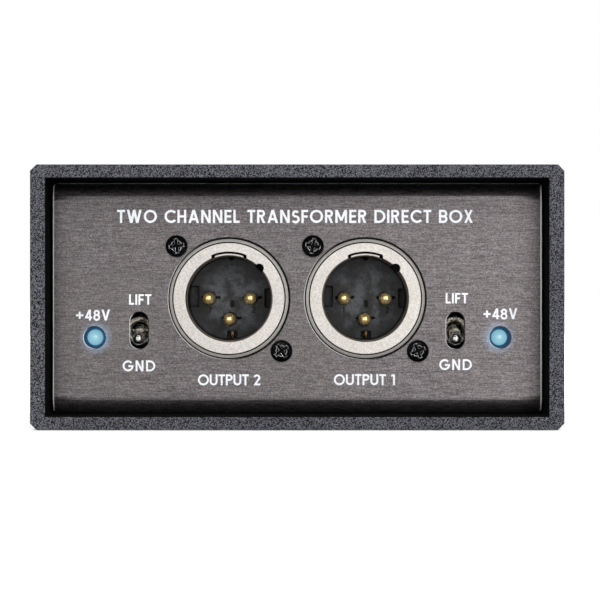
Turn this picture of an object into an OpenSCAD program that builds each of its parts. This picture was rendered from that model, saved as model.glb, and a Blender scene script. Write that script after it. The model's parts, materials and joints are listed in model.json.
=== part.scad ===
// Two-channel direct injection box: a chamfered sleeve over a folded chassis. One end panel carries two
// XLR outputs, two ground-lift toggles and two phantom-power lamps. The other carries four quarter-inch
// jacks and two pad toggles. The circuit board, with its two output transformers, lies between them.
//
// Frame: origin at the middle of the underside, +Z up, the output panel faces -Y, +X is to the right
// of someone who faces that panel. Channel 1 is at +X on both panels.
//
// Each device on a panel is drawn in its own frame: origin on the panel's outer face at the device's
// axis, +Z out of the panel, +Y up, +X to the right of someone who faces the panel.

/* [Sleeve] */
// Outside width of the box
sleeve_w = 100; // [99:0.5:110]
// Outside height of the box
sleeve_h = 49.7; // [49.5:0.1:56]
// Outside depth of the box, from mouth to mouth
sleeve_d = 146; // [142:1:180]
// Thickness of the sleeve's side walls
side_wall = 2.85; // [2:0.05:3]
// Thickness of the sleeve's roof and floor
roof_wall = 2.6; // [2.4:0.05:2.8]
// Chamfer along the four long outside corners
corner_chamfer = 1.2; // [0.6:0.1:1.6]
// Radius of the four long inside corners
inner_corner_r = 0.5; // [0.4:0.1:1.4]

/* [Chassis] */
// Thickness of the folded sheet
sheet_t = 1.5; // [1.2:0.1:1.6]
// How far each panel sits inside its end of the sleeve
panel_recess = 12.7; // [8:0.1:14]
// Outside radius of the folds above and below each panel
fold_r = 3.4; // [2.5:0.1:4]
// Gap between each side of the chassis and the sleeve
side_gap = 0.43; // [0.2:0.01:0.8]
// Gap between the top of the chassis and the sleeve's roof
top_gap = 0.3; // [0.2:0.05:0.6]
// Length of the lip turned back at the top of each panel
lip_d = 9; // [6:0.5:12]

/* [Output connectors] */
// Distance from the box's middle to each output connector's axis
xlr_x = 13; // [12.9:0.1:13.2]
// Height of the output connectors' axes
xlr_z = 24.6; // [24.4:0.1:26]
// Outside diameter of the collar that comes through the panel
xlr_collar_d = 22.7; // [22:0.1:23]
// How far the collar's rim stands out of the panel
xlr_proud = 1; // [0.8:0.1:1.5]
// Diameter of the bore at the mouth
xlr_mouth_d = 16.4; // [16.3:0.1:16.6]
// Length of the mouth, measured from the rim
xlr_mouth_len = 3.2; // [3:0.1:3.4]
// Diameter of the cup behind the mouth
xlr_cup_d = 16; // [15.9:0.05:16.2]
// Depth from the rim to the insert's face
xlr_cup_depth = 14.2; // [13:0.1:15]
// Diameter of each contact pin
xlr_pin_d = 2.38; // [2.3:0.01:2.45]
// Radius of the circle that the contact pins stand on
xlr_pin_circle_r = 4; // [3.9:0.05:4.1]
// Distance of each fixing screw from the axis, across and up
xlr_screw_offset = 10; // [9.8:0.1:10.2]

/* [Toggle switches] */
// Distance from the box's middle to each ground-lift lever
lift_x = 30.15; // [29:0.05:31]
// Height of the ground-lift levers' slots
lift_z = 18.5; // [18:0.1:20]
// Distance from the box's middle to each pad lever
pad_x = 41; // [40.8:0.1:41.6]
// Height of the pad levers' slots
pad_z = 21; // [18:0.1:22]
// Width of the slot that a lever comes through
slot_w = 3.45; // [3:0.05:4]
// Height of the slot that a lever comes through
slot_h = 7; // [6.4:0.1:8]
// Whole swing of a lever, from one end of its travel to the other
lever_swing = 25; // [20:1:26]
// Whole swing of the rocker contact that a lever tips
rocker_swing = 16; // [10:1:16]
// Distance from a lever's pivot to the middle of its ball tip
lever_len = 7.3; // [7:0.1:9]
// Diameter of a lever's ball tip
lever_tip_d = 2.4; // [2:0.1:3]

/* [Indicator lamps] */
// Distance from the box's middle to each lamp
lamp_x = 38.7; // [38:0.1:39.5]
// Height of the lamps
lamp_z = 17.15; // [16.5:0.05:19]
// Diameter of each lamp's hole in the panel
lamp_hole_d = 4.1; // [3.9:0.1:4.4]
// Diameter of each lamp's dome
lamp_dome_d = 3; // [2.9:0.1:3.1]

/* [Jacks] */
// Distance from the box's middle to each input jack
input_x = 11; // [10.5:0.1:11.5]
// Distance from the box's middle to each thru jack
thru_x = 28.4; // [27.8:0.1:28.6]
// Height of the jacks' axes
jack_z = 21; // [20.8:0.1:22]
// Bore of the threaded bushing, which guides the plug
jack_bore_d = 6.5; // [6.4:0.05:6.6]
// Outside diameter of the threaded bushing
jack_thread_d = 9.4; // [9:0.1:9.5]
// How far the threaded bushing stands out of the panel
jack_proud = 4.6; // [4:0.1:5]

/* [Circuit board] */
// Width of the board
board_w = 87; // [84:1:90]
// Depth of the board
board_d = 112.4; // [108:0.1:112.4]
// Thickness of the board
board_t = 1.6; // [1.2:0.1:1.7]
// Height of the standoffs under the board
standoff_h = 5; // [4:0.1:5]

/* [Hidden] */
$fn = 64;

// How far a cut runs past the faces it goes through
over = 1;
// Clearance between a piece and the hole it is fitted in
fit = 0.05;

// Sleeve and chassis
opening_w = sleeve_w - 2 * side_wall;
opening_h = sleeve_h - 2 * roof_wall;
panel_y = sleeve_d / 2 - panel_recess;
chassis_w = opening_w - 2 * side_gap;
chassis_corner_r = inner_corner_r + 0.4;
chassis_h = opening_h - top_gap;
chassis_floor = roof_wall + sheet_t;

// Board
board_bottom = chassis_floor + standoff_h;
board_top = board_bottom + board_t;
lead_end = board_bottom - 0.8;
standoff_spots = [for (x = [-40, 40]) for (y = [-34, 34]) [x, y]];
floor_screw_spots = [for (x = [-34, 34]) for (y = [-50, 50]) [x, y]];

// Machine screws, all of the same thread
thread_r = 1.45;
tapped_r = thread_r + fit;
clear_r = 1.65;
floor_screw_head_r = 2.9;
clinch_shank_r = 2.1;
clinch_head_r = 3;
clinch_head_h = 2.8;

// Output connector, depths measured back from the panel's outer face
flange_back = sheet_t + 2.2;
barrel_back = 16.4;
insert_face = xlr_cup_depth - xlr_proud;
insert_back = barrel_back + 1.2;
pin_tip = 2.6;
pin_tail_r = 0.5;
neck_r = 0.95;
collar_hole_r = xlr_collar_d / 2 + 0.25;
xlr_screw_r = 1.4;
pins = [
    // across, up, depth of the tail that goes down to the board
    [-xlr_pin_circle_r, 0, insert_back + 2],
    [xlr_pin_circle_r, 0, insert_back + 2],
    [0, -xlr_pin_circle_r, insert_back + 4.5]
];
spring_x = 0.4;
spring_tail = insert_back + 0.5;

// Toggle switch, depths measured back from the panel's outer face
bushing_front = sheet_t + 0.2;
pivot_depth = bushing_front + 3.6;
frame_front = pivot_depth + 0.1;
frame_t = 0.6;
case_front = frame_front + frame_t;
case_back = case_front + 7.4;
case_half_w = 2.6;
case_half_h = 6.2;
strap_t = 0.4;
rocker_depth = pivot_depth + 5.7;
leg_x = 2.05;
leg_depth = case_front + 2.2;
terminals = [
    // up, depth of the leg that goes down to the board
    [4.2, case_back + 6],
    [0, case_back + 3.7],
    [-4.2, case_back + 1.4]
];

// Lamp leads
lamp_lead_x = 1.27;
lamp_lead_depths = [6.4, 7.8];
lamp_back = 5.2;

// Jack, depths measured back from the panel's outer face
jack_half_w = 7.7;
jack_top = 7.4;
jack_back = 29.5;
bushing_back = sheet_t + 1.7;
contact_legs = [10, 14, 27.2];
washer_t = 0.7;

// Transformer
transformer_x = 22;
transformer_y = -15;
transformer_gap = 1;
core_half_w = 13.5;
core_half_d = 7;
core_h = 24;
yoke = 5;
centre_leg_half = 4;
window_half_w = 9.5;
spool_t = 0.8;
flange_t = 0.9;
bobbin_half_d = 12;
transformer_pin_xs = [-7.5, -2.5, 2.5, 7.5];
transformer_pin_y = 11;

// Every switch and jack: name, distance across the box, height
lift_spots = [[lift_x, lift_z], [-lift_x, lift_z]];
pad_spots = [[pad_x, pad_z], [-pad_x, pad_z]];
jack_spots = [[input_x, jack_z], [thru_x, jack_z], [-input_x, jack_z], [-thru_x, jack_z]];
xlr_spots = [[xlr_x, xlr_z], [-xlr_x, xlr_z]];
lamp_spots = [[lamp_x, lamp_z], [-lamp_x, lamp_z]];

// Where a lead at (across, depth) in a device's frame meets the board
function from_output(spot, x, depth) = [spot[0] + x, depth - panel_y];
function from_input(spot, x, depth) = [spot[0] - x, panel_y - depth];

// Holes in the board: place and radius
pin_holes = [for (s = xlr_spots) for (p = pins) concat(from_output(s, p[0], p[2]), 0.7)];
spring_holes = [for (s = xlr_spots) concat(from_output(s, spring_x, spring_tail), 0.6)];
lift_holes = [for (s = lift_spots) for (t = terminals) concat(from_output(s, 0, t[1] - strap_t / 2), 0.7)];
pad_holes = [for (s = pad_spots) for (t = terminals) concat(from_input(s, 0, t[1] - strap_t / 2), 0.7)];
lift_leg_holes = [for (s = lift_spots) for (x = [-leg_x, leg_x]) concat(from_output(s, x, leg_depth), 0.8)];
pad_leg_holes = [for (s = pad_spots) for (x = [-leg_x, leg_x]) concat(from_input(s, x, leg_depth), 0.8)];
lamp_holes = [for (s = lamp_spots) for (i = [0, 1])
    concat(from_output(s, (2 * i - 1) * lamp_lead_x, lamp_lead_depths[i]), 0.5)];
jack_holes = [for (s = jack_spots) for (d = contact_legs) concat(from_input(s, 0, d), 0.8)];
transformer_holes = [for (side = [-1, 1]) for (x = transformer_pin_xs) for (y = [-1, 1])
    [side * transformer_x + x, transformer_y + y * transformer_pin_y, 0.6]];
board_holes = concat(
    pin_holes, spring_holes, lift_holes, pad_holes, lift_leg_holes, pad_leg_holes,
    lamp_holes, jack_holes, transformer_holes
);

// ---------------------------------------------------------------- shared shapes

module on_output(spot) {
    translate([spot[0], -panel_y, spot[1]]) rotate([90, 0, 0]) children();
}

module on_input(spot) {
    translate([spot[0], panel_y, spot[1]]) rotate([90, 0, 180]) children();
}

module rounded_rect(w, h, r) {
    square([w - 2 * r, h], center = true);
    square([w, h - 2 * r], center = true);
    for (x = [-1, 1]) for (y = [-1, 1])
        translate([x * (w / 2 - r), y * (h / 2 - r)]) circle(r);
}

// A box given by its middle across and up, its size, and how deep its front and back lie
module block(x, y, w, h, front, back) {
    translate([x - w / 2, y - h / 2, -back]) cube([w, h, back - front]);
}

// A rod along the device's axis, from one depth to another
module rod(r, front, back) {
    translate([0, 0, -back]) cylinder(r = r, h = back - front);
}

// A rod that runs straight down in a device's frame
module drop(r, x, depth, top, bottom) {
    translate([x, bottom, -depth]) rotate([-90, 0, 0]) cylinder(r = r, h = top - bottom);
}

// A flat spring in the up-and-depth plane, of even thickness, through points [depth, up]
module leaf(points, w, t) {
    lower = [for (p = points) [p[1], -p[0]]];
    upper = [for (i = [len(points) - 1:-1:0]) [points[i][1] + t, -points[i][0]]];
    translate([-w / 2, 0, 0]) rotate([90, 0, 90]) linear_extrude(height = w) polygon(concat(lower, upper));
}

// A cross recess for a screwdriver, cut down from z = 0
module cross_recess(width, slot, depth) {
    for (a = [0, 90])
        rotate([0, 0, a]) translate([-width / 2, -slot / 2, -depth]) cube([width, slot, depth + over]);
    translate([0, 0, -depth]) cylinder(r1 = slot / 2, r2 = 0.42 * width, h = depth + over / 10);
}

// A pan head standing on z = 0, with a domed top and a short upright rim
module pan_head(r, h) {
    rim = 0.35 * h;
    dome = h - rim;
    dome_r = (r * r + dome * dome) / (2 * dome);
    cylinder(r = r, h = rim);
    intersection() {
        translate([0, 0, h - dome_r]) sphere(dome_r);
        translate([0, 0, rim]) cylinder(r = r, h = h);
    }
}

// ---------------------------------------------------------------- sleeve and chassis

module sleeve_outline() {
    c = corner_chamfer;
    w = sleeve_w / 2;
    h = sleeve_h / 2;
    polygon([
        [c - w, -h], [w - c, -h], [w, c - h], [w, h - c],
        [w - c, h], [c - w, h], [-w, h - c], [-w, c - h]
    ]);
}

module outer_sleeve() {
    countersink_h = floor_screw_head_r - thread_r + 0.1;
    color("#4b4b4f") difference() {
        translate([0, sleeve_d / 2, sleeve_h / 2]) rotate([90, 0, 0])
            linear_extrude(height = sleeve_d) difference() {
                sleeve_outline();
                rounded_rect(opening_w, opening_h, inner_corner_r);
            }
        for (p = floor_screw_spots) translate([p[0], p[1], 0]) {
            translate([0, 0, -over]) cylinder(r = clear_r, h = roof_wall + 2 * over);
            cylinder(r1 = floor_screw_head_r + 0.15, r2 = clear_r, h = countersink_h);
            translate([0, 0, -over]) cylinder(r = floor_screw_head_r + 0.15, h = over);
        }
    }
}

// Side view of the folded sheet: up is Y here, the box's depth is X
module chassis_profile() {
    depth = 2 * panel_y;
    difference() {
        rounded_rect(depth, chassis_h, fold_r);
        rounded_rect(depth - 2 * sheet_t, chassis_h - 2 * sheet_t, fold_r - sheet_t);
        translate([lip_d + fold_r - panel_y, 0]) square([depth - 2 * (lip_d + fold_r), chassis_h]);
    }
}

// Plan view of the chassis: the panels' upright edges are eased off
module chassis_plan() {
    face_x = chassis_w / 2 - 0.35;
    side_y = panel_y - 0.12;
    polygon([
        [-face_x, -panel_y], [face_x, -panel_y],
        [chassis_w / 2, -side_y], [chassis_w / 2, side_y],
        [face_x, panel_y], [-face_x, panel_y],
        [-chassis_w / 2, side_y], [-chassis_w / 2, -side_y]
    ]);
}

module lever_slot() {
    straight = slot_h - slot_w;
    for (y = [-1, 1]) translate([0, y * straight / 2, -sheet_t - over])
        cylinder(r = slot_w / 2, h = sheet_t + 2 * over);
    block(0, 0, slot_w, straight, -over, sheet_t + over);
}

module inner_chassis() {
    color("#7a7475") difference() {
        intersection() {
            translate([-chassis_w / 2, 0, roof_wall + chassis_h / 2]) rotate([90, 0, 90])
                linear_extrude(height = chassis_w) chassis_profile();
            translate([0, panel_y + over, roof_wall + chassis_h / 2]) rotate([90, 0, 0])
                linear_extrude(height = 2 * (panel_y + over))
                    rounded_rect(chassis_w, chassis_h, chassis_corner_r);
            linear_extrude(height = sleeve_h) chassis_plan();
        }
        for (s = xlr_spots) on_output(s) {
            rod(collar_hole_r, -over, sheet_t + over);
            for (side = [-1, 1]) translate([side * xlr_screw_offset, -side * xlr_screw_offset, 0])
                rod(clear_r, -over, sheet_t + over);
        }
        for (s = lift_spots) on_output(s) lever_slot();
        for (s = lamp_spots) on_output(s) rod(lamp_hole_d / 2, -over, sheet_t + over);
        for (s = pad_spots) on_input(s) lever_slot();
        for (s = jack_spots) on_input(s) rod(jack_thread_d / 2 + 0.15, -over, sheet_t + over);
        for (p = floor_screw_spots) translate([p[0], p[1], 0])
            cylinder(r = clinch_shank_r + fit, h = chassis_floor + over);
        for (p = standoff_spots) translate([p[0], p[1], 0])
            cylinder(r = clinch_shank_r + fit, h = chassis_floor + over);
    }
}

module sleeve_screws() {
    sunk = 0.05;
    head_h = floor_screw_head_r - thread_r;
    color("#1c1c1e") for (p = floor_screw_spots) translate([p[0], p[1], sunk]) difference() {
        union() {
            cylinder(r1 = floor_screw_head_r, r2 = thread_r, h = head_h);
            cylinder(r = thread_r, h = chassis_floor + clinch_head_h + 0.6);
        }
        mirror([0, 0, 1]) cross_recess(3, 0.6, 1.1);
    }
}

module clinch_nuts() {
    color("#b9bcc0") for (p = floor_screw_spots) translate([p[0], p[1], roof_wall]) difference() {
        union() {
            translate([0, 0, fit]) cylinder(r = clinch_shank_r, h = sheet_t);
            translate([0, 0, sheet_t]) cylinder(r = clinch_head_r, h = clinch_head_h);
        }
        cylinder(r = tapped_r, h = chassis_floor + clinch_head_h);
    }
}

module board_standoffs() {
    across_flats = 5;
    color("#b9bcc0") for (p = standoff_spots) translate([p[0], p[1], chassis_floor]) difference() {
        union() {
            cylinder(d = across_flats / cos(30), h = standoff_h, $fn = 6);
            translate([0, 0, fit - sheet_t]) cylinder(r = clinch_shank_r, h = sheet_t);
        }
        cylinder(r = tapped_r, h = standoff_h + over);
    }
}

module board_screws() {
    shank = board_t + standoff_h - 1;
    color("#c8cacd") for (p = standoff_spots) translate([p[0], p[1], board_top]) difference() {
        union() {
            pan_head(2.7, 1.9);
            translate([0, 0, -shank]) cylinder(r = thread_r, h = shank);
        }
        translate([0, 0, 1.9]) cross_recess(2.8, 0.6, 1.1);
    }
}

module circuit_board() {
    corner = 2;
    color("#1f5a38") difference() {
        translate([0, 0, board_bottom])
            linear_extrude(height = board_t) rounded_rect(board_w, board_d, corner);
        for (p = standoff_spots) translate([p[0], p[1], board_bottom - over])
            cylinder(r = clear_r, h = board_t + 2 * over);
        for (h = board_holes) translate([h[0], h[1], board_bottom - over])
            cylinder(r = h[2], h = board_t + 2 * over);
    }
}

// ---------------------------------------------------------------- output connectors

module xlr_shell() {
    flange_w = 25.4;
    flange_h = 27;
    barrel_r = 9.9;
    // The face, the groove round it, and the sloping rim
    face_r = 10.6;
    groove_w = 0.2;
    groove_depth = 0.35;
    rim_top = 0.15;
    rim_drop = 0.5;
    rim_r = xlr_collar_d / 2;
    mouth_bevel = 0.12;
    // The recess for a plug's latch, and the land in it
    latch_half_w = 3.3;
    latch_r = 8.9;
    latch_len = 5;
    land_half_w = 2.75;
    land_r = 8.6;
    key_r = 0.85;
    key_circle_r = 8.15;
    color("#e6e0d8") difference() {
        union() {
            rod(face_r, -xlr_proud, 0);
            rod(face_r + groove_w, groove_depth - xlr_proud, sheet_t);
            difference() {
                union() {
                    rod(rim_r, rim_top + rim_drop - xlr_proud, sheet_t);
                    translate([0, 0, xlr_proud - rim_top - rim_drop])
                        cylinder(r1 = rim_r, r2 = face_r + groove_w, h = rim_drop);
                }
                rod(face_r + groove_w, -xlr_proud - over, sheet_t / 2);
            }
            translate([0, 0, -flange_back]) linear_extrude(height = flange_back - sheet_t)
                rounded_rect(flange_w, flange_h, 2);
            rod(barrel_r, flange_back, barrel_back);
        }
        rod(xlr_cup_d / 2, -xlr_proud - over, barrel_back + over);
        rod(xlr_mouth_d / 2, -xlr_proud - over, xlr_mouth_len - xlr_proud);
        translate([0, 0, xlr_proud - mouth_bevel])
            cylinder(r1 = xlr_mouth_d / 2, r2 = xlr_mouth_d / 2 + mouth_bevel, h = mouth_bevel);
        difference() {
            intersection() {
                rod(latch_r, -xlr_proud - over, latch_len);
                block(0, latch_r, 2 * latch_half_w, latch_r, -xlr_proud - over, latch_len);
            }
            intersection() {
                rod(land_r, 0, latch_len + over);
                block(0, land_r, 2 * land_half_w, land_r, 0, latch_len + over);
            }
        }
        rotate([0, 0, 45]) translate([key_circle_r, 0, 0]) rod(key_r, -xlr_proud - over, barrel_back + over);
        for (side = [-1, 1]) translate([side * xlr_screw_offset, -side * xlr_screw_offset, 0])
            rod(xlr_screw_r + fit, 0, flange_back + over);
    }
}

module xlr_insert() {
    face_r = xlr_cup_d / 2 - fit;
    back_r = 9.4;
    well_r = 1.3;
    well_depth = 0.3;
    slit_left = 1.6;
    slit_right = 2.1;
    slit_h = 0.4;
    slit_up = 0.2;
    slit_depth = 2.5;
    color("#303338") difference() {
        union() {
            rod(face_r, insert_face, barrel_back);
            rod(back_r, barrel_back, insert_back);
        }
        for (p = pins) translate([p[0], p[1], 0]) {
            rod(neck_r + fit / 2, insert_face - over, insert_back + over);
            rod(well_r, insert_face - over, insert_face + well_depth);
            block((slit_right - slit_left) / 2, slit_up, slit_left + slit_right, slit_h,
                insert_face - over, insert_face + slit_depth);
        }
        // Clip windows at both sides, the notch for the ground spring, and the mould gate at the top
        block(-7.1, 0.4, 2, 4, insert_face - over, insert_face + 1.8);
        block(7.7, 0.1, 2, 3.6, insert_face - over, barrel_back);
        block(0.35, -7.7, 1.9, 2.8, insert_face - over, barrel_back);
        block(spring_x, -7.4, 0.7, 0.7, barrel_back - over, insert_back + over);
        translate([0.25, 8.1, 0]) rod(0.65, insert_face - over, insert_face + 1.5);
    }
}

module xlr_pins() {
    pin_r = xlr_pin_d / 2;
    color("#d9a441") for (p = pins) translate([p[0], p[1], 0]) {
        translate([0, 0, -pin_tip - pin_r]) sphere(pin_r);
        rod(pin_r, pin_tip + pin_r, insert_face);
        rod(neck_r, insert_face, insert_back);
        rod(pin_tail_r, insert_back, p[2]);
        translate([0, 0, -p[2]]) sphere(pin_tail_r);
        drop(pin_tail_r, 0, p[2], 0, lead_end - xlr_z - p[1]);
    }
}

module xlr_ground_spring() {
    strip_w = 0.45;
    strip_t = 0.3;
    strip_top = -6.4;
    strip_bottom = -7.7;
    tang_y = -7.4;
    blade_depth = insert_face + 1.4;
    strip_middle = (strip_top + strip_bottom) / 2;
    color("#c9a250") translate([spring_x, 0, 0]) {
        block(0, strip_middle, strip_w, strip_top - strip_bottom, blade_depth, blade_depth + strip_t);
        block(0, tang_y, strip_w, strip_w, blade_depth, spring_tail);
        translate([0, tang_y, -blade_depth]) sphere(0.3);
        drop(strip_w / 2, 0, spring_tail, tang_y, lead_end - xlr_z);
    }
}

module output_screws() {
    head_r = 2.1;
    head_h = 1.5;
    // How far each screw's cross is turned: upper left and lower right of each connector
    turns = [[-12, 22], [8, 35]];
    color("#17181a") for (i = [0, 1]) on_output(xlr_spots[i]) for (j = [0, 1]) {
        across = (2 * j - 1) * xlr_screw_offset;
        translate([across, -across, 0]) difference() {
            union() {
                pan_head(head_r, head_h);
                rod(xlr_screw_r, 0, flange_back + 2.5);
            }
            translate([0, 0, head_h]) rotate([0, 0, turns[i][j]]) cross_recess(2.8, 0.7, 1.15);
        }
    }
}

// ---------------------------------------------------------------- toggle switches

module switch_case() {
    wall = 0.7;
    end_wall = 1.3;
    floor_t = 1;
    hollow_w = 2 * (case_half_w - wall);
    color("#24262a") difference() {
        block(0, 0, 2 * case_half_w, 2 * case_half_h, case_front, case_back);
        block(0, 0, hollow_w, 2 * (case_half_h - end_wall), case_front - over, case_back - floor_t);
        for (t = terminals)
            block(0, t[0], 0.8 + 2 * fit, strap_t + 2 * fit, case_front, case_back + over);
    }
}

// The bushing, its plate, the two straps that hold the case, and the two legs that hold the board.
// The legs' length depends on how high the switch stands above the board.
module switch_frame(height) {
    bushing_r = 2.8;
    mouth_r = 2.15;
    mouth_len = 0.35;
    socket_r = 1.6;
    taper_r = 2.03;
    taper_len = 2.3;
    rim = 0.25;
    plate_half_h = case_half_h + strap_t;
    leg_bottom = lead_end - height;
    color("#b7aa93") difference() {
        union() {
            rod(bushing_r, bushing_front + rim, frame_front);
            translate([0, 0, -bushing_front - rim]) cylinder(r1 = bushing_r, r2 = bushing_r - rim, h = rim);
            block(0, 0, 2 * case_half_w, 2 * plate_half_h, frame_front, case_front);
            for (side = [-1, 1])
                block(0, side * (case_half_h + strap_t / 2), 2 * case_half_w, strap_t,
                    case_front, case_front + 5.5);
            for (side = [-1, 1])
                block(side * leg_x, (leg_bottom - case_half_h) / 2, 0.9, -case_half_h - leg_bottom,
                    leg_depth - strap_t / 2, leg_depth + strap_t / 2);
        }
        rod(socket_r, bushing_front - over, case_front + over);
        rod(mouth_r, bushing_front - over, bushing_front + mouth_len);
        translate([0, 0, -bushing_front - taper_len]) cylinder(r1 = socket_r, r2 = taper_r, h = taper_len);
    }
}

// The lever in its rest position, with its tip down. Its ball has a cross pin along the hinge axis.
module switch_lever() {
    ball_r = 1.3;
    cross_pin_r = 0.4;
    cross_pin_len = 2.78;
    root_r = 1.12;
    root_len = 3.3;
    shoulder = 0.3;
    neck_r = 0.88;
    tail_r = 0.6;
    tail_len = 4.4;
    foot_r = 0.7;
    color("#d5d8da") translate([0, 0, -pivot_depth]) rotate([lever_swing / 2, 0, 0]) {
        sphere(ball_r);
        rotate([0, 90, 0]) cylinder(r = cross_pin_r, h = cross_pin_len, center = true);
        cylinder(r = root_r, h = root_len);
        translate([0, 0, root_len]) cylinder(r1 = root_r, r2 = neck_r, h = shoulder);
        cylinder(r = neck_r, h = lever_len);
        translate([0, 0, lever_len]) sphere(lever_tip_d / 2);
        translate([0, 0, -tail_len]) cylinder(r = tail_r, h = tail_len);
        translate([0, 0, -tail_len]) sphere(foot_r);
    }
}

// The see-saw contact, tipped by the lever's tail about the rolled ridge across its middle
module switch_rocker() {
    ridge_r = 0.3;
    half_h = 4;
    half_w = 1.2;
    half_t = 0.2;
    button_y = 3.6;
    button_r = 0.5;
    color("#c98f4a") translate([0, 0, -rocker_depth]) rotate([-rocker_swing / 2, 0, 0]) {
        block(0, 0, 2 * half_w, 2 * half_h, -half_t, half_t);
        rotate([0, 90, 0]) cylinder(r = ridge_r, h = 2 * half_w, center = true);
        for (side = [-1, 1]) translate([0, side * button_y, 0]) rod(button_r, half_t, 2 * half_t);
    }
}

// Three L-shaped terminals: a head inside the case, a blade through its floor and a leg down to the board
module terminal_set(height) {
    blade_w = 0.8;
    inside = case_back - 1;
    for (t = terminals) {
        block(0, t[0], blade_w, strap_t, inside, t[1]);
        block(0, (t[0] + strap_t / 2 + lead_end - height) / 2, blade_w, t[0] + strap_t / 2 - lead_end + height,
            t[1] - strap_t, t[1]);
    }
    for (t = [terminals[0], terminals[2]]) block(0, t[0], 1.4, 1.2, inside - 0.25, inside);
    block(0, 0, 1, 0.5, inside - 1, inside);
}

module switch_terminals() {
    color("#c9ccd0") {
        for (s = lift_spots) on_output(s) terminal_set(s[1]);
        for (s = pad_spots) on_input(s) terminal_set(s[1]);
    }
}

// ---------------------------------------------------------------- indicator lamps

// The lens: a cupped collar behind the panel's hole, with the dome standing in the cup
module lamp_lens() {
    dome_r = lamp_dome_d / 2;
    dome_middle = 3.3;
    collar_r = 2.6;
    cup_r = lamp_hole_d / 2 - fit;
    cup_floor = 4.2;
    color("#a9dcee") {
        difference() {
            rod(collar_r, sheet_t + fit, lamp_back);
            rod(cup_r, 0, cup_floor);
        }
        translate([0, 0, -dome_middle]) sphere(dome_r);
        rod(dome_r, dome_middle, lamp_back);
    }
}

module lamp_leads() {
    lead_r = 0.25;
    color("#c9ccd0") for (s = lamp_spots) on_output(s)
        for (i = [0, 1]) translate([(2 * i - 1) * lamp_lead_x, 0, 0]) {
            rod(lead_r, lamp_back, lamp_lead_depths[i]);
            translate([0, 0, -lamp_lead_depths[i]]) sphere(lead_r);
            drop(lead_r, 0, lamp_lead_depths[i], 0, lead_end - s[1]);
        }
}

// ---------------------------------------------------------------- jacks

module jack_body() {
    bottom = board_top + 0.2 - jack_z;
    wall = 1.3;
    front_wall = 3;
    hole_r = jack_thread_d / 2 + fit;
    middle = (jack_top + bottom) / 2;
    height = jack_top - bottom;
    color("#1d1e20") difference() {
        block(0, middle, 2 * jack_half_w, height, sheet_t, jack_back);
        block(0, middle, 2 * (jack_half_w - wall), height - 2 * wall, sheet_t + front_wall, jack_back - wall);
        rod(hole_r, 0, sheet_t + front_wall + over);
        for (d = contact_legs) block(0, bottom, 1.2, 4 * wall, d - 0.3, d + 0.3);
    }
}

module jack_bushing() {
    bevel = 0.4;
    thread_r_out = jack_thread_d / 2;
    bore_r = jack_bore_d / 2;
    color("#c3c5c8") difference() {
        union() {
            rod(thread_r_out, bevel - jack_proud, bushing_back);
            translate([0, 0, jack_proud - bevel])
                cylinder(r1 = thread_r_out, r2 = thread_r_out - bevel, h = bevel);
        }
        rod(bore_r, -jack_proud - over, bushing_back + over);
        translate([0, 0, jack_proud - bevel]) cylinder(r1 = bore_r, r2 = bore_r + bevel, h = bevel);
    }
}

// Sleeve, ring and tip springs, each with its leg down to the board
module jack_contacts() {
    leaf_w = 2.4;
    leaf_t = 0.3;
    leg_w = 1;
    leg_t = 0.4;
    bottom = lead_end - jack_z;
    sleeve_leaf = [[10.2, -5], [6.4, -3.9], [5.2, -4.6]];
    ring_leaf = [[13.8, -5], [19.4, -3.9], [20.8, -4.7]];
    tip_leaf = [[27.4, 4.6], [24.2, 3.6], [22.6, 4.4]];
    leg_tops = [-4.7, -4.7, 4.9];
    color("#cfa14b") {
        for (points = [sleeve_leaf, ring_leaf, tip_leaf]) leaf(points, leaf_w, leaf_t);
        for (i = [0:2])
            block(0, (leg_tops[i] + bottom) / 2, leg_w, leg_tops[i] - bottom,
                contact_legs[i] - leg_t / 2, contact_legs[i] + leg_t / 2);
    }
}

module jack_washers() {
    color("#bfc1c4") for (s = jack_spots) on_input(s) difference() {
        cylinder(r = 7.2, h = washer_t);
        translate([0, 0, -over]) cylinder(r = jack_thread_d / 2 + 0.15, h = washer_t + 2 * over);
    }
}

module jack_nuts() {
    across_flats = 12.7;
    nut_t = 2.3;
    edge = 0.5;
    corner_r = across_flats / 2 / cos(30);
    color("#c8cacc") for (s = jack_spots) on_input(s) translate([0, 0, washer_t]) difference() {
        intersection() {
            cylinder(r = corner_r, h = nut_t, $fn = 6);
            union() {
                cylinder(r = corner_r + over, h = nut_t - edge);
                translate([0, 0, nut_t - edge])
                    cylinder(r1 = corner_r, r2 = across_flats / 2 - edge / 2, h = edge);
            }
        }
        translate([0, 0, -over]) cylinder(r = jack_thread_d / 2 + fit, h = nut_t + 2 * over);
    }
}

// ---------------------------------------------------------------- transformers

module at_transformers() {
    for (side = [-1, 1]) translate([side * transformer_x, transformer_y, board_top + transformer_gap])
        children();
}

module upright_box(half_w, half_d, low, high) {
    translate([-half_w, -half_d, low]) cube([2 * half_w, 2 * half_d, high - low]);
}

module transformer_cores() {
    window_w = window_half_w - centre_leg_half;
    color("#6d7076") at_transformers() difference() {
        upright_box(core_half_w, core_half_d, 0, core_h);
        for (side = [-1, 1]) translate([side * (centre_leg_half + window_w / 2), 0, 0])
            upright_box(window_w / 2, core_half_d + over, yoke, core_h - yoke);
    }
}

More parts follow.
